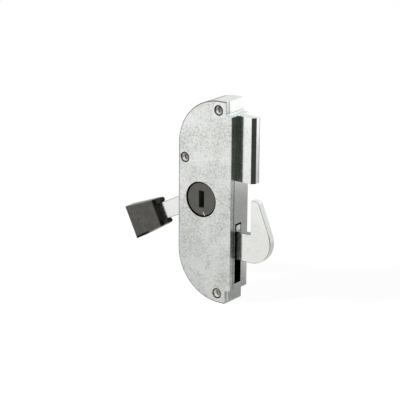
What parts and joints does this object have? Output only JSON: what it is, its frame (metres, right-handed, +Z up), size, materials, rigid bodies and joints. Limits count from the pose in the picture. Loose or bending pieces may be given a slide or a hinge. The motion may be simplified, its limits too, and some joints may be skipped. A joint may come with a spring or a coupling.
{
  "type": "sliding patio door hook lock",
  "caption": "Mortise hook lock for a sliding patio door: flat D-shaped case, hook bolt raised by a hand lever and hub.",
  "frame": {"origin": "on the hub's axis, in the plane of the cover's outer face", "axes": "+X to the front edge where the hook stands out, +Y from the cover into the case, +Z up"},
  "size_m": [0.1026, 0.017, 0.12],
  "materials": {
    "zinc_casting": "bright zinc plating on a zinc casting, faintly mottled",
    "zinc_plate": "bright zinc plating, faintly mottled",
    "rivet_steel": "bare rolled steel",
    "black_nylon": "moulded, satin",
    "grip_nylon": "moulded, satin",
    "plated_steel": "zinc plated pressing",
    "lever_steel": "bright zinc plated pressing",
    "hook_steel": "bright zinc plated pressing",
    "pin_steel": "turned steel",
    "spring_steel": "drawn music wire, oiled"
  },
  "bodies": {
    "case": {"case_body": "zinc_casting", "case_cover": "zinc_plate", "rivet_top": "rivet_steel", "rivet_back": "rivet_steel", "rivet_bottom": "rivet_steel", "guide_post_upper": "pin_steel", "guide_post_lower": "pin_steel", "guide_bush_upper": "pin_steel", "guide_bush_lower": "pin_steel", "thrust_washer": "plated_steel", "toggle_spring": "spring_steel"},
    "lever": {"hub": "black_nylon", "drive_arm": "plated_steel", "drive_pin": "pin_steel", "hub_spacer": "plated_steel", "lever": "lever_steel", "lever_grip": "grip_nylon"},
    "hook": {"hook": "hook_steel"}
  },
  "joints": [
    {"name": "lever_swing", "type": "hinge", "parent": "case", "child": "lever", "pos_m": [0, 0, 0], "axis": [0, 1, 0], "range_deg": [0, 52.4], "deforming": ["toggle_spring"]},
    {"name": "hook_slide", "type": "slide", "parent": "case", "child": "hook", "axis": [0, 0, -1], "range_m": [0, 0.01352]}
  ],
  "couplings": [
    {"joint": "hook_slide", "follows": "lever_swing", "m_per_rad": 0.014772}
  ]
}
